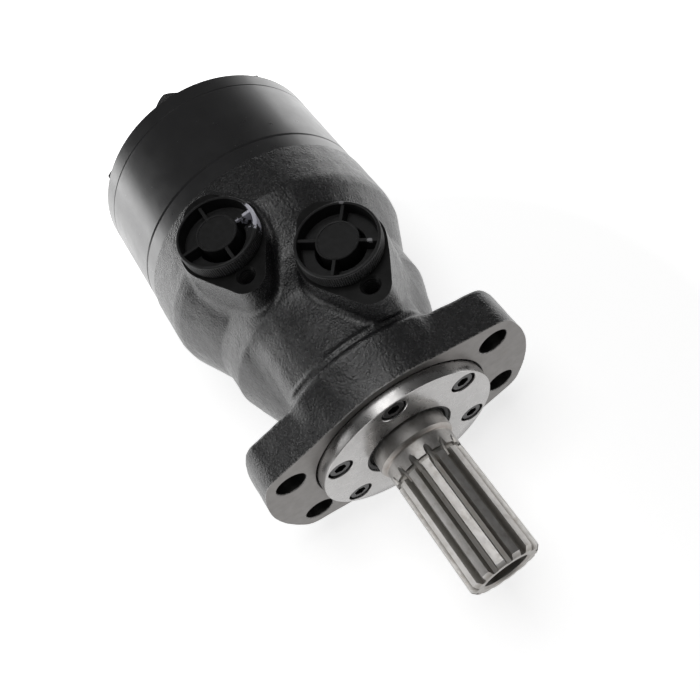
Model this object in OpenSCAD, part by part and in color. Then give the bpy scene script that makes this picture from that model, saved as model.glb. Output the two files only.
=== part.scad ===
// Orbital hydraulic motor with a roller gear set, a spool valve cut into the output shaft,
// a four-hole oval flange and a splined shaft end.
// Frame: +X runs out along the output shaft, +Z points to the ports, Y lies along the flange.
// The origin is the centre of the pilot on the flange's mounting face. Millimetres.

/* [Mounting flange] */
// Diameter of the pilot on the front cover
pilot_d = 82.5; // [80:0.5:85]
// Height of the pilot above the mounting face
pilot_h = 5.8; // [4:0.1:8]
// Thickness of the flange
flange_t = 18; // [14:0.5:22]
// Radius of the flange's two rounded ends
flange_end_r = 64.8; // [62:0.2:70]
// Circle that the four mounting holes lie on
flange_pcd = 106.4; // [104:0.2:108]
// Angle of the mounting holes from the flange's long axis
flange_hole_angle = 22.5; // [20:0.5:25]
// Diameter of the mounting holes
flange_hole_d = 13.5; // [11:0.1:14]

/* [Housing] */
// Length of the housing from the mounting face to its rear face
housing_l = 118.2; // [118:0.1:124]
// Radius of the cast barrel
cast_r = 60.3; // [60:0.1:61]
// Distance from the mounting face to the barrel's shoulder
shoulder_x = 92; // [90:0.5:94]
// Radius of the waist between the barrel and the flange
waist_r = 49; // [48:0.2:50]
// Half width of the port block over the neck
block_half_w = 31.7; // [30:0.1:34]

/* [Ports] */
// Height of the two port faces above the shaft's axis
port_z = 60; // [59.5:0.5:62]
// Distance of the rear port behind the mounting face
port_a_x = 88; // [86:0.5:90]
// Distance of the front port behind the mounting face
port_b_x = 51.5; // [50:0.5:53]
// Sideways offset of the rear port from the shaft's axis
port_a_y = 16.6; // [15:0.1:18]
// Sideways offset of the front port from the shaft's axis
port_b_y = 19.4; // [18:0.1:20]
// Radius of the tapped port bores
port_r = 12.1; // [11.8:0.1:12.4]
// Distance from a port's centre to its manifold screw hole
screw_offset = 21; // [20.9:0.1:21.5]

/* [Output shaft] */
// Length of the shaft beyond the mounting face
shaft_out = 71; // [66:0.5:76]
// Outer diameter of the spline
spline_d = 31.75; // [31:0.05:32]
// Number of spline teeth
spline_n = 14; // [14:1:14]
// Diameter of the journal under the shaft seal
journal_d = 35; // [34.5:0.1:35.5]
// Diameter of the bore in the shaft's end
end_bore_d = 20; // [18:0.5:21]
// Diameter of the spool valve that is part of the shaft
spool_d = 40; // [40:0.5:41]

/* [Gear set] */
// Outer diameter of the distributor plate, the gear ring and the end cover
barrel_d = 119; // [118:0.2:120]
// Width of the gear ring
gear_w = 41; // [30:0.5:60]
// Thickness of the distributor plate
plate_t = 9.6; // [9:0.1:12]
// Thickness of the end cover
cover_t = 9.5; // [9:0.1:14]
// Radius of the circle through the roller centres
roller_pcr = 38; // [38:0.1:38.4]
// Radius of each roller
roller_r = 7; // [6.8:0.1:7.2]
// Distance between the rotor's axis and the ring's axis
ecc = 2.8; // [2.6:0.1:3]
// Radius of the circle of end-cover screws
end_bolt_r = 49.6; // [49.4:0.1:50]

/* [Hidden] */

$fn = 96;
cast = "#26272a";
paint = "#202124";
steel = "#b9b8b4";
bright = "#d0cfcb";
oxide = "#2d2d30";
rubber = "#161617";
plastic = "#1d1d1f";

rear_x = housing_l;                     // distances behind the mounting face
ring_x = rear_x + plate_t;
cover_x = ring_x + gear_w;
back_x = cover_x + cover_t;
boss_r = 18.5;                          // port boss: main round, ear and tail
ear_r = 8.3;
tail_r = 9.5;
tail_offset = 17;
boss_foot = 20;
middle_r = 45.5;                        // the flange's round middle and its corners
corner_r = 10;
corner_a = 24.7;
corner_d = flange_end_r - corner_r + 0.1;
wedge_a = corner_a - 0.5;
hole_y = flange_pcd / 2 * cos(flange_hole_angle);
hole_z = flange_pcd / 2 * sin(flange_hole_angle);
spool_r = spool_d / 2;
bore_r = spool_r + 0.04;                // running fit of the spool
journal_r = journal_d / 2;
cap_hub_r = 8.3;                        // hub of a port cap
recess_r = pilot_d / 2 + 0.4;           // recess that the front cover sits in
seat_r = pilot_d / 2 - 0.95;            // cover behind the mounting face, clear of the recess
recess_t = 6.5;
front_bore_r = 27;                      // counterbore for the cover's spigot and the bearing
collar_x = 21.5;                        // rear face of the shaft's thrust collar
o_ring_r = 56.6;                        // the three large O-rings
roller_step = 360 / 7;
roller_0 = 90 + roller_step / 2;        // first roller's angle, half a step from the top screw
duct_r = 33;                            // radius of the ducts from the valve to the chambers
spline_root_r = spline_d / 2 - 2.5;
cutter_r = 13;                          // radius of the cutter that made the spline
groove_0 = 80.3;                        // angle of one spline groove
cardan_x = 74;                          // centre of the cardan shaft's front head
cardan_span = cover_x - gear_w / 2 - cardan_x;
tilt = atan2(ecc, cardan_span);
duct_x = (port_a_x + port_b_x) / 2;     // plane where the ducts meet the valve
check_angles = [-52, 232];
drain_x = 36;
// turn of the rotor that meshes it with the rollers when its centre is straight up
rotor_turn = roller_0 - (90 - roller_0) / 6;

// Axial parts are drawn along Z, with X to the flange's long axis and Y up to the ports.
module axial() rotate([90, 0, 90]) children();

// A ring or disc from distance a to distance b behind the mounting face (a < b).
module ring(r_out, r_in, a, b) {
    difference() {
        translate([0, 0, -b]) cylinder(r = r_out, h = b - a);
        if (r_in > 0) translate([0, 0, -b - 1]) cylinder(r = r_in, h = b - a + 2);
    }
}

// A disc with both edges chamfered.
module chamfered(r, a, b, c_front, c_rear) {
    rotate_extrude()
        polygon([[0, -b], [r - c_rear, -b], [r, -b + c_rear], [r, -a - c_front],
            [r - c_front, -a], [0, -a]]);
}

// One of the three large O-rings, squashed in its groove, which opens at distance x.
module face_o_ring(x) {
    translate([0, 0, -x + 0.75]) rotate_extrude() translate([o_ring_r, 0]) intersection() {
        circle(d = 1.9, $fn = 24);
        square([2, 1.5], center = true);
    }
}

// Copies placed on a circle of radius r around the axis.
module around(n, r, start) {
    for (i = [0:n - 1]) rotate([0, 0, start + i * 360 / n]) translate([r, 0, 0]) children();
}

// Corners of an arm from a round of radius ra at the origin to one of radius rb, a distance d
// along X. Its sides are tangent just inside both rounds, so that they cross them cleanly.
function arm_points(ra, rb, d) =
    let (p = 0.995 * ra, q = 0.995 * rb, b = acos((p - q) / d))
    [[0, 0], [p * cos(b), p * sin(b)], [d + q * cos(b), q * sin(b)],
        [d + q * cos(b), -q * sin(b)], [p * cos(b), -p * sin(b)]];

// Oval flange blank: a round middle, four rounded corners and two round ends. Its front stands
// 2 mm proud, as the port bosses' tops do, and is faced off flat in housing().
module flange() {
    h = flange_t + 2;
    cylinder(r = middle_r, h = h);
    for (side = [0, 180]) rotate(side) {
        for (a = [-corner_a, corner_a]) rotate(a) {
            translate([corner_d, 0, 0]) cylinder(r = corner_r, h = h);
            linear_extrude(h) polygon(arm_points(middle_r, corner_r, corner_d));
        }
        intersection() {
            cylinder(r = flange_end_r, h = h);
            linear_extrude(h)
                polygon([[0, 0], [80, 80 * tan(wedge_a)], [80, -80 * tan(wedge_a)]]);
        }
    }
}

// A port boss is three rounds joined by two arms. Each piece is drawn by itself.
module boss_round(x, y, r) {
    translate([x, y, boss_foot]) cylinder(r = r, h = port_z - boss_foot + 2);
}

module boss_arm(x, y, r, d, turn) {
    translate([x, y, boss_foot]) rotate([0, 0, turn]) linear_extrude(port_z - boss_foot + 2)
        polygon(arm_points(boss_r, r, d));
}

module housing_body() {
    axial() {
        rotate_extrude($fn = 180)
            polygon([[0, -housing_l], [barrel_d / 2, -housing_l], [cast_r, -housing_l + 0.8],
                [cast_r, -shoulder_x], [58.4, -85.5], [waist_r, -70], [waist_r, -55],
                [35, -flange_t], [35, -flange_t + 1], [0, -flange_t + 1]]);
        // block over the neck, on the ports' side and opposite it
        intersection() {
            rotate_extrude($fn = 180)
                polygon([[0, -60], [waist_r - 0.8, -60], [48.6, -24], [51.6, -19.5],
                    [51.6, -flange_t], [middle_r - 0.3, -0.3], [0, -0.3]]);
            translate([-block_half_w, -60, -70]) cube([2 * block_half_w, 120, 70]);
        }
        translate([0, 0, -flange_t]) flange();
    }
    boss_round(-port_a_x, -port_a_y, boss_r);
    boss_round(-port_a_x + screw_offset, -port_a_y, ear_r);
    boss_round(-port_a_x - tail_offset, -port_a_y, tail_r);
    boss_arm(-port_a_x, -port_a_y, ear_r, screw_offset, 0);
    boss_arm(-port_a_x, -port_a_y, tail_r, tail_offset, 180);
    boss_round(-port_b_x, port_b_y, boss_r);
    boss_round(-port_b_x + screw_offset, port_b_y, ear_r);
    boss_round(-port_b_x - tail_offset, port_b_y, tail_r);
    boss_arm(-port_b_x, port_b_y, ear_r, screw_offset, 0);
    boss_arm(-port_b_x, port_b_y, tail_r, tail_offset, 180);
    // drain boss underneath
    translate([-drain_x, 0, -53]) cylinder(r = 12, h = 20);
}

// Tapped port: thread, drill point and the gallery down to the valve's ring groove.
module port_hole(x, y) {
    translate([x, y, port_z - 17]) cylinder(r = port_r, h = 18);
    translate([x, y, port_z - 1.2]) cylinder(r1 = port_r, r2 = port_r + 1.4, h = 1.4);
    translate([x, y * 0.72, 6]) cylinder(r = 5.5, h = 40);
    translate([x + screw_offset, y, port_z - 16]) cylinder(r = 3.4, h = 17);
    translate([x + screw_offset, y, port_z - 0.8]) cylinder(r1 = 3.4, r2 = 4.3, h = 0.9);
}

module housing() {
    color(cast) difference() {
        housing_body();
        // the machined mounting face and port faces
        translate([0, -80, -60]) cube([10, 160, 120]);
        translate([-130, -60, port_z]) cube([120, 120, 10]);
        axial() {
            translate([0, 0, -housing_l - 1]) cylinder(r = bore_r, h = housing_l + 2);
            translate([0, 0, -22]) cylinder(r = front_bore_r, h = 23);
            translate([0, 0, -recess_t]) cylinder(r = recess_r, h = recess_t + 1);
            for (sy = [-1, 1], sz = [-1, 1])
                translate([sy * hole_y, sz * hole_z, -flange_t - 8])
                    cylinder(d = flange_hole_d, h = flange_t + 9);
            around(6, 34.5, 30) translate([0, 0, -17.5]) cylinder(r = 2.6, h = 17.5);
            // ring grooves that join the ports to the valve, and the one for leakage
            for (x = [port_a_x, port_b_x]) ring(25, 0, x - 5, x + 5);
            ring(22, 0, drain_x - 2, drain_x + 2);
            // ducts from the valve to the gear set, and their cross holes
            around(7, duct_r, 90) ring(3.2, 0, duct_x - 3, housing_l + 1);
            around(7, 0, 90) translate([0, 0, -duct_x]) rotate([0, 90, 0])
                cylinder(r = 2.8, h = duct_r);
            // tapped holes for the end-cover screws
            around(7, end_bolt_r, 90) translate([0, 0, -housing_l - 1]) cylinder(r = 3.4, h = 23);
            // check valve seats in the rear face
            for (a = check_angles) rotate([0, 0, a]) translate([40, 0, -housing_l - 1]) {
                cylinder(r = 4, h = 13);
                cylinder(r = 2, h = 20);
            }
            // groove for the rear O-ring
            ring(o_ring_r + 1.2, o_ring_r - 1.2, housing_l - 1.5, housing_l + 1);
        }
        port_hole(-port_a_x, -port_a_y);
        port_hole(-port_b_x, port_b_y);
        translate([-drain_x, 0, -54]) cylinder(r = 5.8, h = 13);
        translate([-drain_x, 0, -45]) cylinder(r = 3, h = 30);
    }
}

module front_cover() {
    color(steel) axial() difference() {
        union() {
            rotate_extrude($fn = 180)
                polygon([[0, -recess_t + 0.1], [seat_r, -recess_t + 0.1],
                    [seat_r, 0], [pilot_d / 2, 0], [pilot_d / 2, pilot_h - 0.6],
                    [pilot_d / 2 - 0.6, pilot_h], [0, pilot_h]]);
            translate([0, 0, -10]) cylinder(r = front_bore_r - 0.05, h = 10);
        }
        translate([0, 0, -11]) cylinder(r = journal_r + 0.6, h = 20);
        translate([0, 0, -11]) cylinder(r = 23.5, h = 10);
        translate([0, 0, 0.4]) cylinder(r = 20.7, h = 6);
        around(6, 34.5, 30) {
            translate([0, 0, -7]) cylinder(r = 3.2, h = 14);
            translate([0, 0, pilot_h - 6.6]) cylinder(r = 5.7, h = 7);
        }
        // groove for the cover's O-ring, in the spigot
        ring(front_bore_r + 1, front_bore_r - 1.8, 7, 9.4);
    }
}

// Socket head screw along Z, its head's underside at z = 0.
module socket_screw(d, head_r, head_h, l, key) {
    difference() {
        union() {
            translate([0, 0, -l]) cylinder(d = d, h = l + 0.2);
            rotate_extrude()
                polygon([[0, 0], [head_r, 0], [head_r, head_h - 0.5],
                    [head_r - 0.5, head_h], [0, head_h]]);
        }
        translate([0, 0, head_h * 0.45]) cylinder(d = key / cos(30), h = head_h, $fn = 6);
    }
}

module front_cover_screws() {
    color(oxide) axial() around(6, 34.5, 30)
        translate([0, 0, pilot_h - 6.6]) socket_screw(5.2, 5, 6, 14, 5);
}

module front_cover_o_ring() {
    color(rubber) axial() translate([0, 0, -8.2]) rotate_extrude()
        translate([front_bore_r - 0.92, 0]) circle(d = 1.74, $fn = 24);
}

module shaft_seal() {
    color(rubber) axial() rotate_extrude()
        polygon([[23.4, -9.8], [23.4, -1.1], [18.4, -1.1], [18.4, -4], [journal_r + 0.06, -5.4],
            [journal_r + 0.06, -6.4], [19.2, -9], [20.2, -9.8]]);
}

module dust_seal() {
    color(rubber) axial() rotate_extrude()
        polygon([[20.6, 0.5], [20.6, 4.6], [19.7, 5.2], [18.9, 4.6], [18.7, 2.6],
            [journal_r + 0.3, 4.2], [journal_r + 0.06, 3.8], [journal_r + 0.06, 3.2],
            [18.3, 0.5]]);
}

module thrust_race_front() {
    color(bright) axial() ring(26.6, 18.3, 10.1, 11.6);
}

module needle_cage() {
    color(steel) axial() difference() {
        ring(26.2, 18.4, 12, 14);
        around(18, 22.3, 0) translate([-2.8, -1.2, -15]) cube([5.6, 2.4, 4]);
    }
}

module thrust_needles() {
    color(bright) axial() around(18, 22.3, 0)
        translate([-2.6, 0, -13]) rotate([0, 90, 0]) cylinder(r = 1.15, h = 5.2, $fn = 24);
}

module thrust_race_rear() {
    color(bright) axial() ring(26.2, journal_r, 14.3, 15.8);
}

// One spline groove along Z, with a slanted run-out towards the collar.
module spline_groove() {
    depth = spline_d / 2 + 1 - spline_root_r;
    translate([0, 0, 24]) linear_extrude(shaft_out) polygon([[spline_root_r, -0.9],
        [spline_root_r + depth, -2.3], [spline_root_r + depth, 2.3], [spline_root_r, 0.9]]);
    // run-out left by the cutter
    translate([spline_root_r + cutter_r, 0, 24]) rotate([90, 0, 0]) rotate_extrude()
        polygon([[0, -2.3], [cutter_r - depth, -2.3], [cutter_r - 0.4, -1], [cutter_r, -0.3],
            [cutter_r, 0.3], [cutter_r - 0.4, 1], [cutter_r - depth, 2.3], [0, 2.3]]);
}

module output_shaft() {
    color(steel) axial() difference() {
        // spool, thrust collar, journal and splined end
        rotate_extrude()
            polygon([[0, -113], [spool_r - 0.5, -113], [spool_r, -112.5],
                [spool_r, -collar_x], [25, -collar_x], [25.4, -collar_x + 0.4],
                [25.4, -16], [journal_r, -16], [journal_r, 11.4], [journal_r - 0.9, 12.4],
                [spline_d / 2 + 0.3, 12.8], [spline_d / 2, 13.4],
                [spline_d / 2, shaft_out - 1.6], [spline_d / 2 - 1.6, shaft_out],
                [0, shaft_out]]);
        around(spline_n, 0, groove_0) spline_groove();
        // groove for a retaining ring
        difference() {
            translate([0, 0, 20]) cylinder(r = spline_d / 2 + 2, h = 2);
            translate([0, 0, 19]) cylinder(r = spline_d / 2 - 1.5, h = 4);
        }
        // blind bore in the end, with a drill point
        rotate_extrude()
            polygon([[0, 36], [end_bore_d / 2, 42], [end_bore_d / 2, shaft_out - 0.8],
                [end_bore_d / 2 + 1.8, shaft_out + 1], [0, shaft_out + 1]]);
        // hollow for the cardan shaft, toothed at its front
        translate([0, 0, -114]) cylinder(r = 14.2, h = 30);
        translate([0, 0, -114]) cylinder(r = 11.6, h = 52);
        around(12, 0, 0) translate([10, -1.7, -86]) cube([3.6, 3.4, 24]);
        // valve slots: twelve, half fed by each port
        around(6, spool_r, 0) translate([-2, -2.4, -port_a_x - 2])
            cube([4, 4.8, port_a_x + 2 - duct_x + 3.5]);
        around(6, spool_r, 30) translate([-2, -2.4, -duct_x - 3.5])
            cube([4, 4.8, duct_x + 3.5 - port_b_x + 2]);
    }
}

// Crowned spline head of the cardan shaft, centred at the origin along Z.
module cardan_head(l) {
    rotate_extrude()
        polygon([[0, -l / 2], [10.2, -l / 2], [11.1, -l / 4], [11.1, l / 4], [10.2, l / 2],
            [0, l / 2]]);
    intersection() {
        around(12, 0, 0) translate([9, -1.25, -l / 2]) cube([4.2, 2.5, l]);
        rotate_extrude()
            polygon([[0, -l / 2], [12.2, -l / 2], [12.9, -l / 6], [12.9, l / 6],
                [12.2, l / 2], [0, l / 2]]);
    }
}

module cardan_shaft() {
    span = cardan_span / cos(tilt);
    color(steel) translate([-cardan_x, 0, 0]) rotate([0, tilt, 0]) rotate([0, -90, 0]) {
        rotate([0, 0, 90]) cardan_head(12);
        translate([0, 0, span]) rotate([0, 0, 90]) cardan_head(12);
        cylinder(r = 8.5, h = span);
        translate([0, 0, -7.5]) cylinder(r1 = 7, r2 = 9, h = 2);
        translate([0, 0, span]) cylinder(r = 8.5, h = 12.2);
    }
}

module distributor_plate() {
    color(paint) axial() difference() {
        chamfered(barrel_d / 2, rear_x, ring_x, 0.2, 0.7);
        ring(17.5, 0, rear_x - 1, ring_x + 1);
        around(7, end_bolt_r, 90) ring(4.25, 0, rear_x - 1, ring_x + 1);
        around(7, duct_r, 90) ring(3.2, 0, rear_x - 1, ring_x + 1);
        ring(o_ring_r + 1.2, o_ring_r - 1.2, ring_x - 1.5, ring_x + 1);
    }
}

module gear_ring() {
    color(paint) axial() difference() {
        chamfered(barrel_d / 2, ring_x, cover_x, 0.7, 0.35);
        ring(roller_pcr, 0, ring_x - 1, cover_x + 1);
        around(7, roller_pcr, roller_0) ring(roller_r + 0.05, 0, ring_x - 1, cover_x + 1);
        around(7, end_bolt_r, 90) ring(4.25, 0, ring_x - 1, cover_x + 1);
        ring(o_ring_r + 1.2, o_ring_r - 1.2, cover_x - 1.5, cover_x + 1);
    }
}

module roller(i) {
    color(bright) axial() rotate([0, 0, roller_0 + i * roller_step])
        translate([roller_pcr, 0, 0]) ring(roller_r, 0, ring_x + 0.1, cover_x - 0.1);
}

// Six-lobed rotor: the curve that rolls inside the seven rollers, 0.1 mm clear of them.
function rotor_point(s) =
    let (p = [roller_pcr * cos(s) - ecc * cos(7 * s), roller_pcr * sin(s) - ecc * sin(7 * s)],
         n = [roller_pcr * cos(s) - 7 * ecc * cos(7 * s),
              roller_pcr * sin(s) - 7 * ecc * sin(7 * s)])
    p - (roller_r + 0.1) * n / norm(n);

module rotor() {
    steps = 216;
    // the rotor's centre lies straight up from the axis; one roller gap is at the top
    color(steel) axial() translate([0, ecc, -cover_x + 0.1]) difference() {
        linear_extrude(gear_w - 0.2) rotate(rotor_turn)
            polygon([for (i = [0:steps - 1]) rotor_point(i * 360 / steps)]);
        translate([0, 0, -1]) cylinder(r = 11.6, h = gear_w + 2);
        around(12, 0, 0) translate([10, -1.7, -1]) cube([3.6, 3.4, gear_w + 2]);
        translate([0, 0, -1]) cylinder(r = 13.8, h = 9);
    }
}

module cardan_spacer() {
    color(bright) axial() translate([0, ecc, 0]) ring(13.2, 4, cover_x - 7, cover_x - 0.2);
}

module end_cover() {
    color(paint) axial() difference() {
        chamfered(barrel_d / 2, cover_x, back_x, 0.35, 1);
        around(7, end_bolt_r, 90) ring(4.25, 0, cover_x - 1, back_x + 1);
    }
}

// Hex head screw along Z, its head's underside at z = 0 and its corners chamfered.
module hex_screw(d, flats, head_h, l) {
    translate([0, 0, -l]) cylinder(d = d, h = l + 0.2);
    difference() {
        cylinder(d = flats / cos(30), h = head_h, $fn = 6);
        rotate_extrude()
            polygon([[flats / 2 - 0.3, head_h + 0.1], [flats / 2 + 2, head_h + 0.1],
                [flats / 2 + 2, head_h - 1.2]]);
    }
}

module end_cover_screws() {
    color(oxide) axial() around(7, end_bolt_r, 90)
        translate([0, 0, -back_x - 1.2]) rotate([180, 0, 0])
            hex_screw(6.7, 13, 5.3, back_x + 1.2 - rear_x + 20);
}

module end_screw_washers() {
    color(bright) axial() around(7, end_bolt_r, 90) ring(7, 4.2, back_x, back_x + 1.2);
}

module housing_o_ring() {
    color(rubber) axial() face_o_ring(rear_x);
}

module plate_o_ring() {
    color(rubber) axial() face_o_ring(ring_x);
}

module end_cover_o_ring() {
    color(rubber) axial() face_o_ring(cover_x);
}

module check_ball(a) {
    color(bright) axial() rotate([0, 0, a]) translate([40, 0, -housing_l + 9.7]) sphere(r = 3);
}

module check_plugs() {
    color(steel) axial() for (a = check_angles) rotate([0, 0, a]) translate([40, 0, 0])
        ring(4, 1.5, housing_l - 4, housing_l);
}

module drain_plug() {
    color(oxide) translate([-drain_x, 0, -54.2]) rotate([180, 0, 0])
        socket_screw(11.4, 9, 4, 10, 6);
}

module drain_washer() {
    color(bright) translate([-drain_x, 0, -54.2]) difference() {
        cylinder(r = 9.6, h = 1.2);
        translate([0, 0, -1]) cylinder(r = 5.9, h = 4);
    }
}

// Screw-in plastic port cap: knurled head with four spokes, hollow threaded shank.
module port_cap(x, y, turn) {
    color(plastic) translate([x, y, port_z]) rotate([0, 0, turn]) difference() {
        union() {
            rotate_extrude()
                polygon([[0, 0.05], [17.1, 0.05], [17.4, 0.5], [17.4, 6.6], [16.9, 7.2],
                    [0, 7.2]]);
            translate([0, 0, -13]) cylinder(r = port_r - 0.06, h = 13.5);
        }
        difference() {
            translate([0, 0, 2.4]) cylinder(r = 15.9, h = 6);
            translate([0, 0, 1]) cylinder(r = cap_hub_r, h = 5.3);
            for (a = [0, 90]) rotate([0, 0, a]) translate([-17, -0.75, 1]) cube([34, 1.5, 5.3]);
        }
        difference() {
            translate([0, 0, -14]) cylinder(r = 10.3, h = 18);
            translate([0, 0, -5]) cylinder(r = cap_hub_r, h = 10);
            for (a = [0, 90]) rotate([0, 0, a]) translate([-15, -0.75, -5]) cube([30, 1.5, 10]);
        }
    }
}

housing();
front_cover();
front_cover_screws();
front_cover_o_ring();
shaft_seal();
dust_seal();
thrust_race_front();
needle_cage();
thrust_needles();
thrust_race_rear();
output_shaft();
cardan_shaft();
distributor_plate();
gear_ring();
rotor();
for (i = [0:6]) roller(i);
cardan_spacer();
end_cover();
end_cover_screws();
end_screw_washers();
housing_o_ring();
plate_o_ring();
end_cover_o_ring();
check_ball(check_angles[0]);  // check_ball_a
check_ball(check_angles[1]);  // check_ball_b
check_plugs();
drain_plug();
drain_washer();
port_cap(-port_a_x, -port_a_y, 0);  // port_cap_a
port_cap(-port_b_x, port_b_y, 50);  // port_cap_b
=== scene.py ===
"""Looks of the hydraulic motor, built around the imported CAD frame.

Mesh code works in millimetres in the row frame (+X out along the shaft, +Z to the ports), and
new_piece() turns them into metres.
"""
import math

import bmesh
import bpy
import numpy as np
import openvdb
from mathutils import Euler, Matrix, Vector


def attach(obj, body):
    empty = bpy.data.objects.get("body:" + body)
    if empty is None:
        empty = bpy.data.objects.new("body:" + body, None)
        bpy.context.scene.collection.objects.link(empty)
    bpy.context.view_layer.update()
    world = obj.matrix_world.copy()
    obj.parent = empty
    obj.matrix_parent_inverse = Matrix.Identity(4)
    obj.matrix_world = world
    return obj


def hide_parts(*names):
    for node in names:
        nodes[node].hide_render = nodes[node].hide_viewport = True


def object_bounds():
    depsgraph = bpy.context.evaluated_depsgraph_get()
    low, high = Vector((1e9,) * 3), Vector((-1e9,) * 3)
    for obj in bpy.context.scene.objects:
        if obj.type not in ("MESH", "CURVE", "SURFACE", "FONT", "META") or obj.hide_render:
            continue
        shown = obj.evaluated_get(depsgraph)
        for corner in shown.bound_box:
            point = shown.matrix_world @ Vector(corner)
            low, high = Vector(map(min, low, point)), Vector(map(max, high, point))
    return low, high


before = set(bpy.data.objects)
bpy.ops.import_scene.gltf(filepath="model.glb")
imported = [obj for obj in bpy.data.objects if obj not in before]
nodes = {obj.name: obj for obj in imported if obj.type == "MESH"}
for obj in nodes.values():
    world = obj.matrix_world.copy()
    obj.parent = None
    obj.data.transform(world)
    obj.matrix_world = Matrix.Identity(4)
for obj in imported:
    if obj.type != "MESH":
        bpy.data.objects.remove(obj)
cad_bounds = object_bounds()
TAU = 2 * math.pi

# ---------------------------------------------------------------- sizes, in millimetres
PORT_Z = 60.0  # height of the two port faces
PORT_A = (-88.0, -16.6)  # centre of the rear port, x and y
PORT_B = (-51.5, 19.4)  # centre of the front port
PORTS = (PORT_A, PORT_B)
PORT_R = 12.1
EAR = 21.0  # from a port's centre to its manifold-screw hole, towards the shaft
TAIL = 17.0  # from a port's centre to the middle of its boss's rear end
THREAD_PITCH = 1.25
BORE_R = 20.3
SEAL_BORE_R = 27.0
RECESS_R, RECESS_DEPTH = 41.65, 6.5
SCREW_R = 34.5  # circle of the front cover's screws
SCREWS, SCREWS_START = 6, 30
FLANGE_T = 18.0
FLANGE_END_R, FLANGE_MIDDLE_R = 64.55, 45.5
CORNER_TURN, CORNER_AT, CORNER_R = 24.7, 54.55, 10.0
HOLE_Y, HOLE_Z, HOLE_R = 49.15, 20.36, 6.75  # the four mounting holes
REAR = 118.2  # length of the casting behind the mounting face
CAST_R = 60.1
BLOCK_HALF_W = 32.2
BLOCK_FILLET, BOSS_FILLET, PLATE_FILLET, DRAIN_FILLET = 3.0, 3.2, 2.8, 3.5
DRAFT = 0.07  # taper of the port bosses' sides
GROOVE_X, GROOVE_R, GROOVE_DEPTH = -20.6, 50.2, 1.5
DRAIN_X, DRAIN_Z, DRAIN_R = -36.0, -53.0, 12.0
CAP_RIDGES = 116
SPOKES = 4
FLOOR_HALF = 12000.0
FLOOR_GAP = 0.3
MIDDLE = (-0.06, 0.0, 0.0)  # in metres, where the lights look


# ---------------------------------------------------------------- mesh helpers
def new_piece(name, verts, faces, crisp=35.0):
    """Object from points in millimetres, smooth-shaded except at edges sharper than crisp."""
    mesh = bpy.data.meshes.new(name)
    verts = np.asarray(verts, float) * 0.001
    mesh.from_pydata(verts.tolist(), [], [list(map(int, f)) for f in faces])
    mesh.validate()
    mesh.update()
    obj = bpy.data.objects.new(name, mesh)
    bpy.context.scene.collection.objects.link(obj)
    shade(obj, crisp)
    return obj


def shade(obj, crisp):
    """Smooth shading, with sharp edges where faces meet at more than crisp degrees."""
    mesh = obj.data
    mesh.polygons.foreach_set("use_smooth", np.ones(len(mesh.polygons), bool))
    mesh.set_sharp_from_angle(angle=math.radians(crisp))
    mesh.update()


def lathe(profile, n, closed=True):
    """Turns (x, r) points about the X axis. A closed profile is the section of a ring; an open
    one starts and ends on the axis."""
    prof = np.asarray(profile, float)
    ang = np.arange(n) * TAU / n
    m = len(prof)
    verts, faces = [], []
    if closed:
        for x, r in prof:
            verts += [(x, r * math.cos(a), r * math.sin(a)) for a in ang]
        for i in range(m):
            j = (i + 1) % m
            for k in range(n):
                k2 = (k + 1) % n
                faces.append((i * n + k, i * n + k2, j * n + k2, j * n + k))
    else:
        verts.append((prof[0][0], 0, 0))
        for x, r in prof[1:-1]:
            verts += [(x, r * math.cos(a), r * math.sin(a)) for a in ang]
        verts.append((prof[-1][0], 0, 0))
        last = len(verts) - 1
        for k in range(n):
            k2 = (k + 1) % n
            faces.append((0, 1 + k2, 1 + k))
            for i in range(m - 3):
                a, b = 1 + i * n, 1 + (i + 1) * n
                faces.append((a + k, a + k2, b + k2, b + k))
            faces.append((last, 1 + (m - 3) * n + k, 1 + (m - 3) * n + k2))
    return np.array(verts), faces


def to_z(verts, at):
    """Turned about X, now stood along Z at a point."""
    v = np.asarray(verts)
    return np.c_[v[:, 1] + at[0], v[:, 2] + at[1], v[:, 0] + at[2]]


def to_axis(verts, y, z):
    """Turned about X, now moved to an axis parallel to it."""
    return np.asarray(verts) + np.array([0, y, z])


def outward(obj):
    """Makes the normals of each closed shell point out."""
    bm = bmesh.new()
    bm.from_mesh(obj.data)
    bmesh.ops.recalc_face_normals(bm, faces=bm.faces)
    bm.to_mesh(obj.data)
    bm.free()


def cut(obj, tool, operation="DIFFERENCE"):
    """Applies a boolean with the tool, then removes the tool."""
    outward(tool)
    mod = obj.modifiers.new("cut", "BOOLEAN")
    mod.operation, mod.object, mod.solver = operation, tool, "MANIFOLD"
    bake(obj)
    bpy.data.objects.remove(tool)


def bake(obj):
    """Replaces the mesh by what its modifiers make of it."""
    bpy.context.view_layer.update()
    deps = bpy.context.evaluated_depsgraph_get()
    mesh = bpy.data.meshes.new_from_object(obj.evaluated_get(deps),
                                           preserve_all_data_layers=True, depsgraph=deps)
    old, name = obj.data, obj.data.name
    obj.modifiers.clear()
    obj.data = mesh
    bpy.data.meshes.remove(old)
    mesh.name = name


def around(n, r, start_deg):
    """n points at equal angles on a circle."""
    return [(r * math.cos(math.radians(start_deg) + i * TAU / n),
             r * math.sin(math.radians(start_deg) + i * TAU / n)) for i in range(n)]


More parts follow.
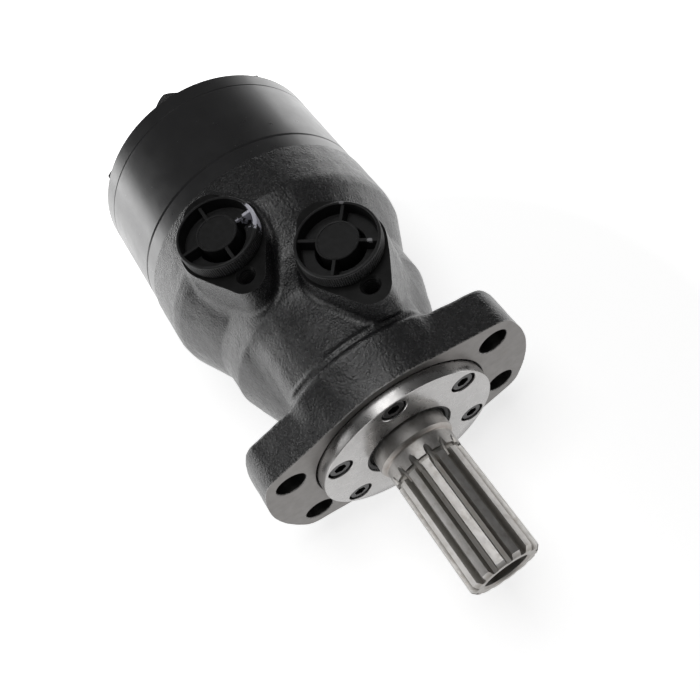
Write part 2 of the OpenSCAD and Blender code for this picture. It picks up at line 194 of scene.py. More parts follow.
# ---------------------------------------------------------------- distance fields
def poly_distance(px, py, pts):
    """Signed distance to a closed polygon, negative inside."""
    pts = np.asarray(pts, float)
    d = np.full(px.shape, 1e9)
    inside = np.zeros(px.shape, bool)
    for a, b in zip(pts, np.roll(pts, -1, 0)):
        e, wx, wy = b - a, px - a[0], py - a[1]
        t = np.clip((wx * e[0] + wy * e[1]) / (e @ e), 0, 1)
        d = np.minimum(d, (wx - e[0] * t) ** 2 + (wy - e[1] * t) ** 2)
        if e[1] != 0:
            crosses = ((a[1] > py) != (b[1] > py)) & (px < a[0] + (py - a[1]) * e[0] / e[1])
            inside ^= crosses
    return np.where(inside, -1, 1) * np.sqrt(d)


def blend_in(a, b, k):
    """Union with a fillet of about k."""
    h = np.clip(0.5 + 0.5 * (b - a) / k, 0, 1)
    return b * (1 - h) + a * h - k * h * (1 - h)


def blend_cut(a, b, k):
    """Intersection with a round of about k."""
    return -blend_in(-a, -b, k)


def arc(cx, cy, r, a0, a1, n):
    """n points on a circle about (cx, cy), from angle a0 to a1 in degrees."""
    t = np.radians(np.linspace(a0, a1, n))
    return list(zip(cx + r * np.cos(t), cy + r * np.sin(t)))


def flange_outline():
    """The flange's front outline in Y and Z: round middle, round ends, rounded corners."""
    turn, dist, r = CORNER_TURN, CORNER_AT, CORNER_R
    lean = math.degrees(math.acos((FLANGE_MIDDLE_R - r) / dist))
    pts = []
    for side in (0, 180):
        for sign in (-1, 1):
            a = side + sign * turn
            c = (dist * math.cos(math.radians(a)), dist * math.sin(math.radians(a)))
            if sign < 0:
                pts += arc(c[0], c[1], r, a - lean, a, 12)
                pts += arc(0, 0, FLANGE_END_R, a, side + turn, 24)[1:-1]
            else:
                pts += arc(c[0], c[1], r, a, a + lean, 12)
                pts += arc(0, 0, FLANGE_MIDDLE_R, a + lean, side + 180 - turn - lean, 24)[1:-1]
    return pts


def boss_outline(main=18.5, ear=8.3, tail=9.5):
    """A port boss seen from above, its ear towards +X."""
    a = math.degrees(math.acos((main - ear) / EAR))
    b = 180 - math.degrees(math.acos((main - tail) / TAIL))
    pts = arc(EAR, 0, ear, -a, a, 14)
    pts += arc(0, 0, main, a, b, 16)
    pts += arc(-TAIL, 0, tail, b, 360 - b, 14)
    pts += arc(0, 0, main, 360 - b, 360 - a, 16)
    return pts


def soft_noise(shape, voxel, wavelength, seed):
    """Smooth random field of unit spread with one wavelength, in millimetres."""
    r = np.random.default_rng(seed)
    field = r.standard_normal(shape).astype(np.float32)
    spectrum = np.fft.rfftn(field)
    fx = np.fft.fftfreq(shape[0], voxel)[:, None, None]
    fy = np.fft.fftfreq(shape[1], voxel)[None, :, None]
    fz = np.fft.rfftfreq(shape[2], voxel)[None, None, :]
    f = np.sqrt(fx ** 2 + fy ** 2 + fz ** 2)
    spectrum *= np.exp(-((f * wavelength - 1) / 0.6) ** 2)
    out = np.fft.irfftn(spectrum, s=shape).astype(np.float32)
    return out / out.std()


# ---------------------------------------------------------------- the casting
def revolved(profile, gx, rho):
    """Field of a profile of (x, r) turned about the X axis, on the grid."""
    radii = np.arange(0, 100, 0.4)
    tx, tr = np.meshgrid(gx, radii, indexing="ij")
    table = poly_distance(tx, tr, profile)
    return np.stack([np.interp(rho, radii, row) for row in table]).astype(np.float32)


def skin_field(gx, gy, gz, voxel):
    """Signed distance to the unmachined casting on the grid: barrel, shoulder, neck, port block,
    port bosses, flange and drain boss, blended with fillets."""
    shape = (len(gx), len(gy), len(gz))
    yy, zz = np.meshgrid(gy, gz, indexing="ij")
    rho = np.hypot(yy, zz)
    x3, y3, z3 = gx[:, None, None], gy[None, :, None], gz[None, None, :]
    body = revolved([(-REAR - 2, -9), (-REAR - 2, CAST_R), (-96, CAST_R), (-92, 59.2), (-71, 49.0),
                     (-66, 48.7), (-55, 48.7), (-18, 35), (-16, 35), (-16, -9)], gx, rho)
    block = revolved([(-76, -9), (-76, 48.3), (-24, 48.6), (-20, 50.6), (-17.5, 50.8),
                      (-1, 45.2), (-1, -9)], gx, rho)
    block = blend_cut(block, (np.abs(y3) - BLOCK_HALF_W).astype(np.float32), 6.0)
    outline = poly_distance(yy, zz, flange_outline()).astype(np.float32)[None]
    # the flange's cast back stands 0.9 mm behind its nominal thickness
    slab = np.maximum(-FLANGE_T - 0.9 - x3, x3 - 2).astype(np.float32)
    plate = blend_cut(np.broadcast_to(outline, shape), np.broadcast_to(slab, shape), 2.0)
    # the front end of the outline stays crisp where it is faced
    plate = np.where(x3 > -8, np.maximum(outline, slab), plate).astype(np.float32)
    skin = blend_in(body, block, BLOCK_FILLET)
    xs, ys = np.meshgrid(gx, gy, indexing="ij")
    for px, py in PORTS:
        top = poly_distance(xs - px, ys - py, boss_outline()).astype(np.float32)[:, :, None]
        draft = (DRAFT * np.clip(PORT_Z - z3, 0, 40)).astype(np.float32)
        boss = np.maximum(top - draft, np.maximum(z3 - PORT_Z - 2, 15 - z3)).astype(np.float32)
        skin = blend_in(skin, boss, BOSS_FILLET)
    skin = blend_in(skin, plate, PLATE_FILLET)
    # groove behind the flange, over the port block
    groove = np.hypot(x3 - GROOVE_X, rho[None] - GROOVE_R) - GROOVE_DEPTH
    skin = -blend_in(-skin, groove.astype(np.float32), 0.8)
    # slight unevenness of the sand mould
    lump = soft_noise(shape, voxel, 11.0, 3) * 0.045 + soft_noise(shape, voxel, 4.5, 4) * 0.018
    skin = skin + lump
    drain = np.maximum(np.hypot(x3 - DRAIN_X, y3) - DRAIN_R, np.maximum(DRAIN_Z - z3, z3 + 25))
    return blend_in(skin, np.broadcast_to(drain, shape).astype(np.float32), DRAIN_FILLET)


def raw_casting():
    """The unmachined casting as a mesh, from its distance field."""
    voxel = 0.8
    lo = np.array([-REAR - 3, -68, -64.0])
    hi = np.array([4.0, 68, 65.0])
    shape = tuple(np.ceil((hi - lo) / voxel).astype(int))
    skin = skin_field(*(lo[i] + np.arange(shape[i]) * voxel for i in range(3)), voxel)
    grid = openvdb.FloatGrid(float(voxel * 6))
    grid.copyFromArray(np.ascontiguousarray(np.clip(skin, -voxel * 5, voxel * 5), np.float32))
    points, quads = grid.convertToQuads(isovalue=0.0)
    obj = new_piece("casting", points * voxel + lo, quads[:, ::-1], crisp=180)
    outward(obj)
    return obj


def prism(section):
    """Points and faces between two equal outlines, given as one list after the other."""
    q = len(section) // 2
    faces = [tuple(range(q - 1, -1, -1)), tuple(range(q, 2 * q))]
    faces += [(i, (i + 1) % q, q + (i + 1) % q, q + i) for i in range(q)]
    return section, faces


def box_tool(x0, x1, y0, y1, z0, z1):
    v = [(x, y, z) for x in (x0, x1) for y in (y0, y1) for z in (z0, z1)]
    f = [(0, 1, 3, 2), (4, 6, 7, 5), (0, 4, 5, 1), (2, 3, 7, 6), (0, 2, 6, 4), (1, 5, 7, 3)]
    return new_piece("tool", v, f)


def face_off(obj):
    """Cuts the rear face, the mounting face, both port faces and the drain boss flat."""
    cut(obj, box_tool(-REAR - 20, -REAR, -90, 90, -90, 90))
    cut(obj, box_tool(0, 20, -90, 90, -90, 90))
    for px, py in PORTS:
        rim = [(px + x, py + y) for x, y in boss_outline(19.6, 9.4, 10.6)]
        cut(obj, new_piece("tool", *prism([(x, y, z) for z in (PORT_Z, PORT_Z + 8)
                                           for x, y in rim])))
    cut(obj, box_tool(-50, -22, -14, 14, -70, DRAIN_Z))


def tapped_hole():
    """Manifold-screw hole, its thread cut as fine rings."""
    thread = [(-15, 0), (-15, 3.3)]
    for i in range(10):
        x = -14 + i * THREAD_PITCH
        thread += [(x, 3.3), (x + THREAD_PITCH * 0.45, 3.95), (x + THREAD_PITCH * 0.55, 3.95)]
    thread += [(-1.0, 3.35), (0.0, 4.3), (1, 5.3), (1, 0)]
    return lathe(thread, 64, closed=False)


def bore_out(obj):
    """Bores the spool's bore with the cover's recess, and all holes."""
    tools = [lathe([(-REAR - 1, 0), (-REAR - 1, BORE_R), (-22, BORE_R), (-22, SEAL_BORE_R),
                    (-RECESS_DEPTH, SEAL_BORE_R), (-RECESS_DEPTH, RECESS_R), (-0.5, RECESS_R),
                    (0, RECESS_R + 0.5), (1, RECESS_R + 1.5), (1, 0)], 192, closed=False)]
    for sy in (-1, 1):
        for sz in (-1, 1):
            v, f = lathe([(-32, 0), (-32, HOLE_R), (-0.35, HOLE_R), (0, HOLE_R + 0.35),
                          (1, HOLE_R + 1.35), (1, 0)], 72, closed=False)
            tools.append((to_axis(v, sy * HOLE_Y, sz * HOLE_Z), f))
    for px, py in PORTS:
        v, f = lathe([(-17, 0), (-17, PORT_R), (-1.2, PORT_R), (0.3, 13.6), (1, 13.6), (1, 0)], 96,
                     closed=False)
        tools.append((to_z(v, (px, py, PORT_Z)), f))
        v, f = tapped_hole()
        tools.append((to_z(v, (px + EAR, py, PORT_Z)), f))
    v, f = lathe([(-2, 0), (-2, 5.8), (13, 5.8), (13, 0)], 48, closed=False)
    tools.append((to_z(v, (DRAIN_X, 0, DRAIN_Z)), f))
    for y, z in around(SCREWS, SCREW_R, SCREWS_START):
        v, f = lathe([(-18, 0), (-18, 2.7), (1, 2.7), (1, 0)], 32, closed=False)
        tools.append((to_axis(v, y, z), f))
    for v, f in tools:
        cut(obj, new_piece("tool", v, f))


def sort_faces(obj):
    """Slot of each face of the casting: 0 paint, 1 faced steel, 2 port face, 3 bored hole. The
    later lines win."""
    mesh = obj.data
    n = len(mesh.polygons)
    centre, normal = np.zeros(n * 3), np.zeros(n * 3)
    mesh.polygons.foreach_get("center", centre)
    mesh.polygons.foreach_get("normal", normal)
    x, y, z = (centre.reshape(-1, 3) * 1000).T
    normal_x = normal.reshape(-1, 3)[:, 0]
    radius = np.hypot(y, z)
    from_hole = np.hypot(np.abs(y) - HOLE_Y, np.abs(z) - HOLE_Z)
    index = np.zeros(n, np.int32)
    index[(radius < SEAL_BORE_R + 0.1) & (x < -1)] = 3
    index[(from_hole < HOLE_R + 0.1) & (x > -30) & (np.abs(normal_x) < 0.9)] = 3
    for px, py in PORTS:
        index[(np.hypot(x - px - EAR, y - py) < 4.6) & (z > 44)] = 2
    index[np.abs(z - PORT_Z) < 0.003] = 2
    index[(x > -RECESS_DEPTH - 0.1) & (radius < RECESS_R + 0.6)] = 1
    index[(x > -0.05) & (normal_x > 0.99)] = 1
    mesh.polygons.foreach_set("material_index", index)
    mesh.update()


# ---------------------------------------------------------------- material helpers
class Mat:
    """Small builder for a node material on object coordinates, in metres."""

    def __init__(self, name):
        self.m = bpy.data.materials.new(name)
        self.m.use_nodes = True
        self.t = self.m.node_tree
        self.bsdf = self.t.nodes["Principled BSDF"]
        self.coord = self.t.nodes.new("ShaderNodeTexCoord").outputs["Object"]

    def node(self, kind, **values):
        """New node with its properties set."""
        n = self.t.nodes.new(kind)
        for k, v in values.items():
            setattr(n, k, v)
        return n

    def link(self, a, b):
        """Joins an output to an input."""
        self.t.links.new(a, b)

    def mapped(self, scale):
        """Object coordinates, scaled along each axis."""
        n = self.node("ShaderNodeMapping")
        n.inputs["Scale"].default_value = scale
        self.link(self.coord, n.inputs["Vector"])
        return n.outputs["Vector"]

    def noise(self, size_mm, detail=3.0, rough=0.5, vector=None, distortion=0.0):
        """Noise whose features are about size_mm across."""
        n = self.node("ShaderNodeTexNoise")
        n.inputs["Scale"].default_value = 1000.0 / size_mm
        n.inputs["Detail"].default_value = detail
        n.inputs["Roughness"].default_value = rough
        n.inputs["Distortion"].default_value = distortion
        self.link(vector or self.coord, n.inputs["Vector"])
        return n.outputs["Fac"]

    def cells(self, size_mm):
        """Distance to the nearest of points about size_mm apart."""
        n = self.node("ShaderNodeTexVoronoi")
        n.inputs["Scale"].default_value = 1000.0 / size_mm
        self.link(self.coord, n.inputs["Vector"])
        return n.outputs["Distance"]

    def ramp(self, value, stops):
        """Value mapped by stops of (position, grey or colour)."""
        n = self.node("ShaderNodeValToRGB")
        e = n.color_ramp.elements
        while len(e) < len(stops):
            e.new(0.5)
        for el, (pos, c) in zip(e, stops):
            el.position = pos
            el.color = (c, c, c, 1) if not isinstance(c, tuple) else (*c, 1)
        self.link(value, n.inputs["Fac"])
        return n.outputs["Color"]

    def math(self, op, a, b=None):
        """One sum on outputs or numbers."""
        n = self.node("ShaderNodeMath", operation=op)
        for i, v in enumerate((a, b)):
            if v is None:
                continue
            if isinstance(v, (int, float)):
                n.inputs[i].default_value = v
            else:
                self.link(v, n.inputs[i])
        return n.outputs[0]

    def mix(self, fac, a, b):
        """Colour a, or b where fac is 1."""
        n = self.node("ShaderNodeMix", data_type="RGBA")
        for name, v in (("Factor", fac), ("A", a), ("B", b)):
            s = [i for i in n.inputs if i.name == name and
                 (i.type == "VALUE" if name == "Factor" else i.type == "RGBA")][0]
            if isinstance(v, (int, float)):
                s.default_value = v
            elif isinstance(v, tuple):
                s.default_value = (*v, 1)
            else:
                self.link(v, s)
        return [o for o in n.outputs if o.type == "RGBA"][0]

    def bump(self, height, depth_mm, strength=1.0, under=None):
        """Normal of a relief, on top of another one if given."""
        n = self.node("ShaderNodeBump")
        n.inputs["Strength"].default_value = strength
        n.inputs["Distance"].default_value = depth_mm * 0.001
        self.link(height, n.inputs["Height"])
        if under is not None:
            self.link(under, n.inputs["Normal"])
        return n.outputs["Normal"]

    def separate(self):
        """The three object coordinates."""
        n = self.node("ShaderNodeSeparateXYZ")
        self.link(self.coord, n.inputs[0])
        return n.outputs

    def radius(self):
        """Distance from the shaft's axis, in metres."""
        _, y, z = self.separate()
        return self.math("SQRT", self.math("ADD", self.math("MULTIPLY", y, y),
                                           self.math("MULTIPLY", z, z)))

    def edges(self, radius_mm, low=0.5, high=0.6):
        """White on edges, where a rounded normal leaves the true one."""
        b = self.node("ShaderNodeBevel", samples=4)
        b.inputs["Radius"].default_value = radius_mm * 0.001
        g = self.node("ShaderNodeNewGeometry")
        d = self.node("ShaderNodeVectorMath", operation="DOT_PRODUCT")
        self.link(b.outputs[0], d.inputs[0])
        self.link(g.outputs["Normal"], d.inputs[1])
        return self.ramp(d.outputs["Value"], [(low, 1.0), (high, 0.0)])

    def set(self, **values):
        """Principled inputs by name, underscores for spaces. Numbers and colours go on the
        shader's own sockets."""
        for k, v in values.items():
            s = self.bsdf.inputs[k.replace("_", " ")]
            if isinstance(v, (int, float)):
                s.default_value = v
            elif isinstance(v, tuple):
                s.default_value = (*v, 1) if s.type == "RGBA" else v
            else:
                self.link(v, s)
        return self


def cast_paint():
    """Semi-gloss black paint over a pebbly sand casting."""
    m = Mat("cast_black_paint")
    fine = m.noise(0.40, 3.0, 0.55)
    pebble = m.noise(0.85, 2.0, 0.5)
    broad = m.noise(4.5, 2.0, 0.5)
    n1 = m.bump(broad, 0.10, 0.5)
    n2 = m.bump(pebble, 0.32, 0.85, n1)
    n3 = m.bump(fine, 0.12, 0.8, n2)
    tone = m.ramp(m.noise(3.0, 4.0, 0.6), [(0.35, (0.010, 0.010, 0.0105)),
                                           (0.70, (0.016, 0.016, 0.017))])
    # paint gone from the very edge of the faced flange
    x = m.math("MULTIPLY", m.separate()[0], 1000.0)
    edge = m.math("ADD", x, m.math("MULTIPLY", m.noise(1.3, 4.0, 0.7), 2.4))
    edge = m.ramp(edge, [(0.72, 0.0), (0.80, 1.0)])
    tone = m.mix(edge, tone, (0.22, 0.212, 0.205))
    rough = m.ramp(m.noise(2.6, 3.0, 0.6), [(0.3, 0.22), (0.7, 0.31)])
    return m.set(Base_Color=tone, Roughness=rough, Normal=n3, Specular_IOR_Level=0.85).m


def smooth_paint():
    """Semi-gloss black paint on turned steel, with faint scratches and dust specks."""
    m = Mat("smooth_black_paint")
    wave = m.noise(16.0, 3.0, 0.5)
    orange = m.noise(1.6, 3.0, 0.5)
    scratch_map = m.mapped((1.0, 0.05, 0.05))
    lines = m.noise(1.4, 2.0, 0.5, scratch_map, 0.4)
    lines = m.ramp(lines, [(0.70, 0.0), (0.715, 1.0), (0.73, 0.0)])
    where = m.ramp(m.noise(22.0, 3.0, 0.6), [(0.52, 0.0), (0.66, 1.0)])
    lines = m.math("MULTIPLY", lines, where)
    specks = m.ramp(m.cells(3.2), [(0.055, 1.0), (0.075, 0.0)])
    some = m.ramp(m.noise(2.8, 1.0, 0.5), [(0.56, 0.0), (0.60, 1.0)])
    specks = m.math("MULTIPLY", specks, some)
    tone = m.mix(m.math("MULTIPLY", lines, 0.35), (0.012, 0.012, 0.013), (0.16, 0.16, 0.165))
    tone = m.mix(m.math("MULTIPLY", specks, 0.6), tone, (0.22, 0.22, 0.225))
    rough = m.ramp(m.noise(9.0, 4.0, 0.6), [(0.3, 0.27), (0.7, 0.36)])
    n1 = m.bump(wave, 0.05, 0.5)
    n2 = m.bump(orange, 0.016, 0.5, n1)
    n3 = m.bump(specks, 0.03, 0.5, n2)
    return m.set(Base_Color=tone, Roughness=rough, Normal=n3, Specular_IOR_Level=1.0,
                 Coat_Weight=0.25, Coat_Roughness=0.18).m


def machined_paint():
    """Thin dark paint on the machined port faces."""
    m = Mat("machined_dark_paint")
    fine = m.noise(0.9, 4.0, 0.6)
    tone = m.ramp(m.noise(6.0, 4.0, 0.6), [(0.35, (0.006, 0.006, 0.006)),
                                           (0.7, (0.014, 0.014, 0.014))])
    worn = m.math("MULTIPLY", m.edges(0.35, 0.84, 0.97),
                  m.ramp(m.noise(2.4, 4.0, 0.7), [(0.42, 0.15), (0.60, 1.0)]))
    tone = m.mix(m.math("MULTIPLY", worn, 0.7), tone, (0.14, 0.14, 0.142))
    n1 = m.bump(fine, 0.03, 0.6)
    return m.set(Base_Color=tone, Roughness=0.38, Normal=n1, Specular_IOR_Level=0.22).m


def turned_steel(name, tone, rough, pitch=0.22, stain=0.25, depth=0.010):
    """Bare machined steel with turning marks about the shaft's axis, spots and faint stains."""
    m = Mat(name)
    r = m.radius()
    rings = m.node("ShaderNodeCombineXYZ")
    m.link(m.math("MULTIPLY", r, 1000.0 / pitch), rings.inputs[0])
    s = m.separate()
    m.link(m.math("MULTIPLY", s[0], 1000.0 / pitch), rings.inputs[1])
    marks = m.node("ShaderNodeTexNoise")
    marks.inputs["Scale"].default_value = 1.0
    marks.inputs["Detail"].default_value = 4.0
    marks.inputs["Roughness"].default_value = 0.65
    m.link(rings.outputs[0], marks.inputs["Vector"])
    cloud = m.noise(7.0, 5.0, 0.62)
    spots = m.ramp(m.cells(2.4), [(0.06, 1.0), (0.12, 0.0)])
    few = m.ramp(m.noise(3.4, 2.0, 0.5), [(0.57, 0.0), (0.62, 1.0)])
    spots = m.math("MULTIPLY", spots, few)
    base = m.ramp(cloud, [(0.30, tuple(c * 0.90 for c in tone)), (0.70, tone)])
    base = m.mix(m.math("MULTIPLY", m.ramp(m.noise(11.0, 6.0, 0.7), [(0.56, 0.0), (0.72, 1.0)]),
                        stain), base, (tone[0] * 0.62, tone[1] * 0.54, tone[2] * 0.45))
    base = m.mix(m.math("MULTIPLY", spots, 0.75), base, (0.12, 0.10, 0.085))
    ro = m.ramp(m.noise(4.0, 4.0, 0.6), [(0.3, rough - 0.05), (0.7, rough + 0.07)])
    n1 = m.bump(marks.outputs["Fac"], depth, 0.8)
    n2 = m.bump(spots, 0.02, 0.5, n1)
    return m.set(Base_Color=base, Roughness=ro, Metallic=1.0, Normal=n2).m


def shaft_steel():
    """Oiled steel of the splined shaft, stained brown in the grooves and at the step."""
    m = Mat("shaft_steel")
    s = m.separate()
    r = m.radius()
    along = m.mapped((0.12, 1.0, 1.0))
    streaks = m.noise(0.8, 5.0, 0.6, along)
    cloud = m.noise(4.0, 5.0, 0.65)
    base = m.ramp(cloud, [(0.30, (0.40, 0.388, 0.372)), (0.70, (0.52, 0.508, 0.495))])
    # floor of the grooves is darker and browner than the ground crests
    crest = m.ramp(m.math("MULTIPLY", r, 1000.0 / 20), [(0.735, 0.0), (0.785, 1.0)])
    base = m.mix(crest, (0.31, 0.297, 0.28), base)
    patch = m.ramp(m.noise(3.0, 5.0, 0.7), [(0.50, 0.0), (0.66, 1.0)])
    base = m.mix(m.math("MULTIPLY", patch, 0.35), base, (0.25, 0.215, 0.18))
    # brown line where the seal ran, from 11.5 to 14 mm in front of the mounting face
    line = m.ramp(m.math("MULTIPLY", m.math("ADD", s[0], 0.2), 4.0),
                  [(0.846, 0.0), (0.850, 1.0), (0.856, 0.0)])
    base = m.mix(m.math("MULTIPLY", line, 0.6), base, (0.10, 0.05, 0.02))
    ro = m.ramp(m.noise(2.0, 4.0, 0.6), [(0.3, 0.36), (0.7, 0.50)])
    n1 = m.bump(streaks, 0.02, 0.7)
    return m.set(Base_Color=base, Roughness=ro, Metallic=1.0, Normal=n1).m


def black_oxide():
    """Blackened screws, their edges rubbed bright."""
    m = Mat("black_oxide")
    fine = m.noise(0.5, 4.0, 0.6)
    tone = m.ramp(m.noise(1.6, 4.0, 0.65), [(0.35, (0.022, 0.022, 0.024)),
                                            (0.70, (0.060, 0.058, 0.058))])
    tone = m.mix(m.math("MULTIPLY", m.edges(0.25, 0.86, 0.97), 0.7), tone, (0.30, 0.29, 0.28))
    return m.set(Base_Color=tone, Roughness=0.36, Metallic=0.75, Normal=m.bump(fine, 0.02, 0.6)).m


def rubber():
    """Black rubber of the seals and O-rings."""
    m = Mat("black_rubber")
    tone = m.ramp(m.noise(1.2, 5.0, 0.65), [(0.35, (0.010, 0.010, 0.010)),
                                            (0.75, (0.030, 0.030, 0.030))])
    return m.set(Base_Color=tone, Roughness=0.55, Normal=m.bump(m.noise(0.4, 3.0), 0.02, 0.6)).m


def cap_plastic(name, scuffs):
    """Moulded black polyethylene, its edges worn light. scuffs: (x, y, z, size, tone) marks."""
    m = Mat(name)
    fine = m.noise(0.9, 4.0, 0.6)
    tone = m.ramp(m.noise(3.0, 4.0, 0.6), [(0.35, (0.010, 0.010, 0.010)),
                                           (0.75, (0.019, 0.019, 0.020))])
    worn = m.math("MULTIPLY", m.edges(0.35, 0.80, 0.96),
                  m.ramp(m.noise(1.4, 4.0, 0.7), [(0.40, 0.25), (0.62, 1.0)]))
    tone = m.mix(m.math("MULTIPLY", worn, 0.5), tone, (0.11, 0.11, 0.112))
    for x, y, z, size, mark in scuffs:
        near = m.node("ShaderNodeVectorMath", operation="DISTANCE")
        m.link(m.coord, near.inputs[0])
        near.inputs[1].default_value = (x * 0.001, y * 0.001, z * 0.001)
        ragged = m.math("ADD", m.math("MULTIPLY", near.outputs["Value"], 1000.0 / size),
                        m.math("MULTIPLY", m.noise(2.0, 5.0, 0.7), 1.1))
        tone = m.mix(m.ramp(ragged, [(0.86, 1.0), (0.94, 0.0)]), tone, mark)
    ro = m.ramp(m.noise(1.8, 4.0, 0.6), [(0.3, 0.40), (0.7, 0.52)])
    return m.set(Base_Color=tone, Roughness=ro, Normal=m.bump(fine, 0.05, 0.6),
                 Specular_IOR_Level=0.35).m


def ground_steel():
    """Ground bearing steel of the sealed inner pieces."""
    m = Mat("ground_steel")
    tone = m.ramp(m.noise(3.0, 4.0, 0.6), [(0.3, (0.52, 0.52, 0.51)), (0.7, (0.68, 0.68, 0.67))])
    return m.set(Base_Color=tone, Roughness=0.22, Metallic=1.0,
                 Normal=m.bump(m.noise(0.3, 3.0), 0.004, 0.5)).m


def soft_washer():
    """Dull soft metal of the sealing washers."""
    m = Mat("soft_washer")
    tone = m.ramp(m.noise(2.0, 4.0, 0.6), [(0.3, (0.50, 0.49, 0.47)), (0.7, (0.66, 0.65, 0.62))])
    return m.set(Base_Color=tone, Roughness=0.38, Metallic=1.0,
                 Normal=m.bump(m.noise(0.6, 3.0), 0.015, 0.6)).m


MATS = {
    "cast": cast_paint(),
    "paint": smooth_paint(),
    "port_face": machined_paint(),
    "flange_face": turned_steel("faced_steel", (0.20, 0.191, 0.184), 0.40, stain=0.25),
    "hole": turned_steel("drilled_steel", (0.10, 0.098, 0.095), 0.42, pitch=0.6, stain=0.2),
    "cover": turned_steel("ground_cover", (0.45, 0.442, 0.437), 0.28, pitch=0.16, stain=0.10,
                          depth=0.006),
    "shaft": shaft_steel(),
    "oxide": black_oxide(),
    "rubber": rubber(),
    "cap_a": cap_plastic("cap_plastic_a", [
        (PORT_A[0] + 3.5, PORT_A[1] + 16.6, 66.8, 17.0, (0.70, 0.70, 0.78))]),
    "cap_b": cap_plastic("cap_plastic_b", [
        (PORT_B[0] + 8.5, PORT_B[1] + 9.5, 66.0, 3.0, (0.30, 0.30, 0.31)),
        (PORT_B[0] - 12.8, PORT_B[1] + 10.4, 67.0, 3.0, (0.22, 0.22, 0.23))]),
    "ground": ground_steel(),
    "washer": soft_washer(),
}


def dress(obj, *names):
    """Gives a piece its materials, one a slot."""
    obj.data.materials.clear()
    for n in names:
        obj.data.materials.append(MATS[n])


# ---------------------------------------------------------------- pieces
def finish_piece(obj, body, node):
    """Rides a piece on its body, in place of its CAD node."""
    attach(obj, body)
    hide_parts(node)


def make_casting():
    """The casting, which is faced and bored where the real one is machined."""
    obj = raw_casting()
    face_off(obj)
    bore_out(obj)
    dress(obj, "cast", "flange_face", "port_face", "hole")
    sort_faces(obj)
    shade(obj, 38)
    finish_piece(obj, "root", "housing")


def front_cover():
    """The turned cover with the pilot, its bore for the shaft and six countersunk screw holes."""
    prof = [(-10, 23.5), (-10, 26.95), (-6.4, 26.95), (-6.4, 40.3), (0.0, 40.3), (0.0, 41.25),
            (5.35, 41.25), (5.66, 41.14), (5.8, 40.85), (5.8, 21.0), (5.7, 20.78), (5.5, 20.68),
            (0.4, 20.68), (0.4, 18.15), (-1, 18.15), (-1, 23.5)]
    obj = new_piece("cover_plate", *lathe(prof, 256))
    outward(obj)
    for y, z in around(SCREWS, SCREW_R, SCREWS_START):
        v, f = lathe([(-8, 0), (-8, 3.2), (-0.8, 3.2), (-0.8, 5.7), (5.55, 5.7), (5.8, 5.95),
                      (6.8, 6.95), (6.8, 0)], 64, closed=False)
        cut(obj, new_piece("tool", to_axis(v, y, z), f))
    shade(obj, 30)
    dress(obj, "cover")
    finish_piece(obj, "root", "front_cover")


def cap_ring():
    """Knurled ring with its hollow shank. Each profile point is (x, r, share of the knurl)."""
    per = 4
    n = CAP_RIDGES * per
    prof = [(0.05, 12.04, 0), (0.05, 16.9, 0), (0.45, 17.35, 0.6), (0.8, 17.4, 1), (6.1, 17.4, 1),
            (6.45, 17.35, 0.4), (6.75, 17.2, 0), (7.1, 16.9, 0), (7.2, 16.7, 0), (7.2, 16.15, 0),
            (7.0, 15.92, 0), (1.0, 15.7, 0), (0.6, 15.2, 0), (0.5, 10.6, 0), (0.2, 10.3, 0),
            (-13, 10.3, 0), (-13, 11.4, 0), (-12.4, 12.04, 0)]
    ang = np.arange(n) * TAU / n
    wave = np.array([0.0, -0.10, -0.42, -0.10])[np.arange(n) % per]
    verts = []
    for x, radius, share in prof:
        r = radius + wave * share
        verts += list(zip(np.full(n, x), r * np.cos(ang), r * np.sin(ang)))
    m = len(prof)
    faces = [(i * n + k, i * n + (k + 1) % n, (i + 1) % m * n + (k + 1) % n, (i + 1) % m * n + k)
             for i in range(m) for k in range(n)]
    return verts, faces


def cap_spoke(at, degrees):
    """Upright web from the hub to the ring."""
    a = math.radians(degrees)
    along = np.array([math.cos(a), math.sin(a), 0])
    across = np.array([-math.sin(a), math.cos(a), 0])
    foot = np.array([*at, PORT_Z])
    section = [(-0.85, -4.9), (0.85, -4.9), (0.75, 5.9), (0.55, 6.15), (-0.55, 6.15),
               (-0.75, 5.9)]
    return prism([foot + along * d + across * s + np.array([0, 0, h])
                  for d in (7.2, 16.1) for s, h in section])


def port_cap(name, node, at, turn):
    """Screw-in cap: knurled ring, hub and four spokes."""
    v, f = cap_ring()
    obj = new_piece(name, to_z(v, (*at, PORT_Z)), f)
    outward(obj)
    v, f = lathe([(-5, 0), (-5, 8.6), (6.1, 8.75), (6.35, 8.55), (6.3, 8.0), (6.0, 7.8),
                  (6.0, 0)], 96, closed=False)
    cut(obj, new_piece("hub", to_z(v, (*at, PORT_Z)), f), "UNION")
    for k in range(SPOKES):
        cut(obj, new_piece("spoke", *cap_spoke(at, turn + 360 / SPOKES * k)), "UNION")
    shade(obj, 32)
    dress(obj, name)
    finish_piece(obj, node, node)


make_casting()
front_cover()
port_cap("cap_a", "port_cap_a", PORT_A, 0)
port_cap("cap_b", "port_cap_b", PORT_B, 50)

# all other nodes keep their CAD shape
CARRIED = {
    "paint": ("distributor_plate", "gear_ring", "end_cover"),
    "oxide": ("front_cover_screws", "end_cover_screws", "drain_plug"),
    "rubber": ("front_cover_o_ring", "shaft_seal", "dust_seal", "housing_o_ring", "plate_o_ring",
               "end_cover_o_ring"),
    "shaft": ("output_shaft", "cardan_shaft"),
    "washer": ("end_screw_washers", "drain_washer"),
    "ground": ("thrust_race_front", "needle_cage", "thrust_needles", "thrust_race_rear", "rotor",
               "cardan_spacer", "check_ball_a", "check_ball_b", "check_plugs",
               *(f"roller_{i}" for i in range(1, 8))),
}
for look, keys in CARRIED.items():
    for key in keys:
        dress(nodes[key], look)

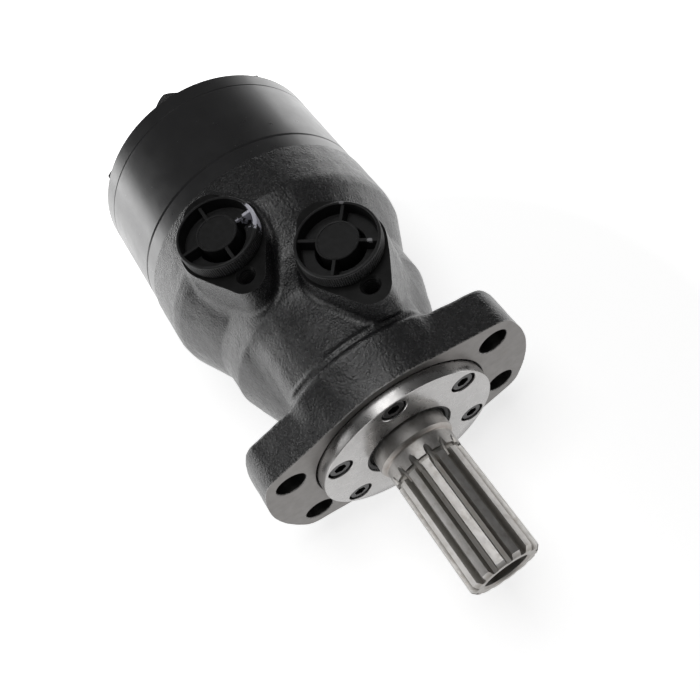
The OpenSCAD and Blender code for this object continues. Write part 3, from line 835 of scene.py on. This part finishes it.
# ---------------------------------------------------------------- floor, light and camera
def stage_floor():
    """Pale floor that glows more away from the motor, so that it runs out to white. The glow is
    painted light: its strong far part also lights the motor's reflections.
    """
    n = 48
    g = np.linspace(-FLOOR_HALF, FLOOR_HALF, n)
    z = cad_bounds[0][2] * 1000 - FLOOR_GAP
    v = [(x, y, z) for x in g for y in g]
    f = [(i * n + j, (i + 1) * n + j, (i + 1) * n + j + 1, i * n + j + 1)
         for i in range(n - 1) for j in range(n - 1)]
    obj = new_piece("floor", v, f)
    m = Mat("floor_white_glowing")
    tone = m.ramp(m.noise(300.0, 2.0, 0.5), [(0.3, 0.93), (0.7, 0.95)])
    m.set(Base_Color=tone, Roughness=0.9, Specular_IOR_Level=0.1)
    far = m.node("ShaderNodeVectorMath", operation="LENGTH")
    m.link(m.mapped((1.0, 1.0, 0.0)), far.inputs[0])
    # painted light: the glow is weaker within about 0.16 m of the motor, so that its shadow shows,
    # and strong farther out, where the motor's paint and steel reflect it
    glow = m.ramp(far.outputs["Value"], [(0.16, 0.45), (0.34, 1.0)])
    m.set(Emission_Color=(1.0, 1.0, 1.0), Emission_Strength=m.math("MULTIPLY", glow, 1.55))
    obj.data.materials.append(m.m)


def area(name, at, size, power):
    """Rectangular light, turned to the middle of the motor. Metres and watts."""
    light = bpy.data.lights.new(name, "AREA")
    light.shape, light.size, light.size_y = "RECTANGLE", *size
    light.energy = power
    obj = bpy.data.objects.new(name, light)
    obj.location = at
    d = Vector(MIDDLE) - Vector(at)
    obj.rotation_euler = d.to_track_quat("-Z", "Y").to_euler()
    bpy.context.scene.collection.objects.link(obj)


stage_floor()
area("low_left", (-0.85, -0.70, 0.06), (0.9, 0.24), 1.6)
area("left_mid", (-0.42, -0.85, 0.40), (0.6, 0.45), 1.3)
area("low_right", (-0.80, 0.66, 0.09), (0.8, 0.28), 0.25)
area("top", (-0.10, 0.0, 0.85), (0.5, 0.5), 2.0)

world = bpy.data.worlds.new("studio")
world.use_nodes = True
world.node_tree.nodes["Background"].inputs["Color"].default_value = (1, 1, 1, 1)
world.node_tree.nodes["Background"].inputs["Strength"].default_value = 0.09
scene = bpy.context.scene
scene.world = world
scene.view_settings.view_transform = "Standard"

# the camera that fits the photograph's circles: barrel, pilot, holes, screws and shaft
camera = bpy.data.cameras.new("camera")
camera.lens = 39.106
camera.sensor_width = 36.0
camera.clip_start = 0.01
cam = bpy.data.objects.new("camera", camera)
cam.location = (0.11802, -0.01433, 0.2999)
cam.rotation_euler = Euler([math.radians(a) for a in (25.411, 13.891, 57.432)], "XYZ")
scene.collection.objects.link(cam)
scene.camera = cam
